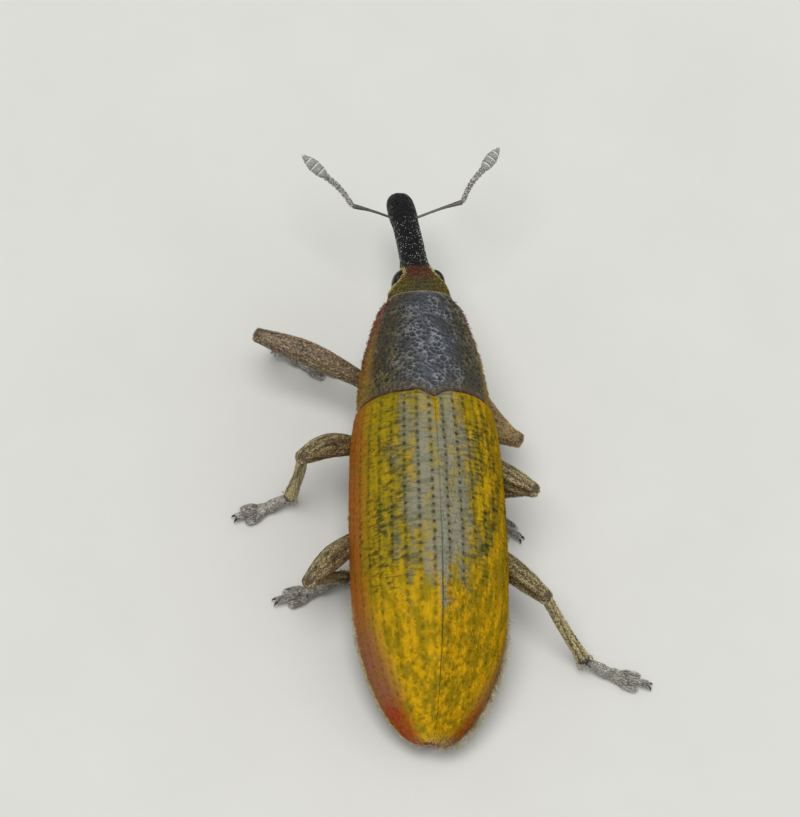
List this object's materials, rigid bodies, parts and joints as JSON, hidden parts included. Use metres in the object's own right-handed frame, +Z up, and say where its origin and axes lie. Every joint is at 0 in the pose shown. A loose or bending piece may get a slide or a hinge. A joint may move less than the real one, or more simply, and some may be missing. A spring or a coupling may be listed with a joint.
{
  "type": "elongated bean weevil",
  "caption": "Still life-size slender snout beetle with long snout, elbowed clubbed feelers, yellow powdered wing cases and spread jointed legs.",
  "frame": {"origin": "on the floor, under the middle of the animal's bounding box", "axes": "+Y along the body towards the head, +X to the animal's right, +Z up"},
  "size_m": [0.0128, 0.019, 0.005],
  "materials": {
    "prothorax_cuticle": "dark pitted cuticle with yellow powder on its sides",
    "head_cuticle": "dark olive cuticle with short pale hairs",
    "snout_cuticle": "black pitted cuticle",
    "eye": "glossy dark facets",
    "wing_case_powder": "mustard powder and fine hair over grey cuticle, rust-red margins",
    "underside_cuticle": "dark cuticle under dense pale hair",
    "leg_cuticle": "pinkish brown cuticle under flat pale hairs",
    "foot_cuticle": "pale grey hairy pads, dark claws",
    "feeler_cuticle": "grey-brown cuticle with pale hairs",
    "club_down": "whitish down"
  },
  "bodies": {
    "root": {"prothorax": "prothorax_cuticle", "head": "head_cuticle", "rostrum": "snout_cuticle", "eye_left": "eye", "eye_right": "eye", "elytron_left": "wing_case_powder", "elytron_right": "wing_case_powder", "thorax": "underside_cuticle", "abdomen": "underside_cuticle", "coxa_front_left": "leg_cuticle", "femur_front_left": "leg_cuticle", "tibia_front_left": "leg_cuticle", "coxa_front_right": "leg_cuticle", "femur_front_right": "leg_cuticle", "tibia_front_right": "leg_cuticle", "coxa_middle_left": "leg_cuticle", "femur_middle_left": "leg_cuticle", "tibia_middle_left": "leg_cuticle", "coxa_middle_right": "leg_cuticle", "femur_middle_right": "leg_cuticle", "tibia_middle_right": "leg_cuticle", "coxa_hind_left": "leg_cuticle", "femur_hind_left": "leg_cuticle", "tibia_hind_left": "leg_cuticle", "coxa_hind_right": "leg_cuticle", "femur_hind_right": "leg_cuticle", "tibia_hind_right": "leg_cuticle", "tarsus_front_left": "foot_cuticle", "tarsus_front_right": "foot_cuticle", "tarsus_middle_left": "foot_cuticle", "tarsus_middle_right": "foot_cuticle", "tarsus_hind_left": "foot_cuticle", "tarsus_hind_right": "foot_cuticle", "scape_left": "feeler_cuticle", "scape_right": "feeler_cuticle", "funicle_left": "feeler_cuticle", "funicle_right": "feeler_cuticle", "club_left": "club_down", "club_right": "club_down"}
  },
  "joints": []
}
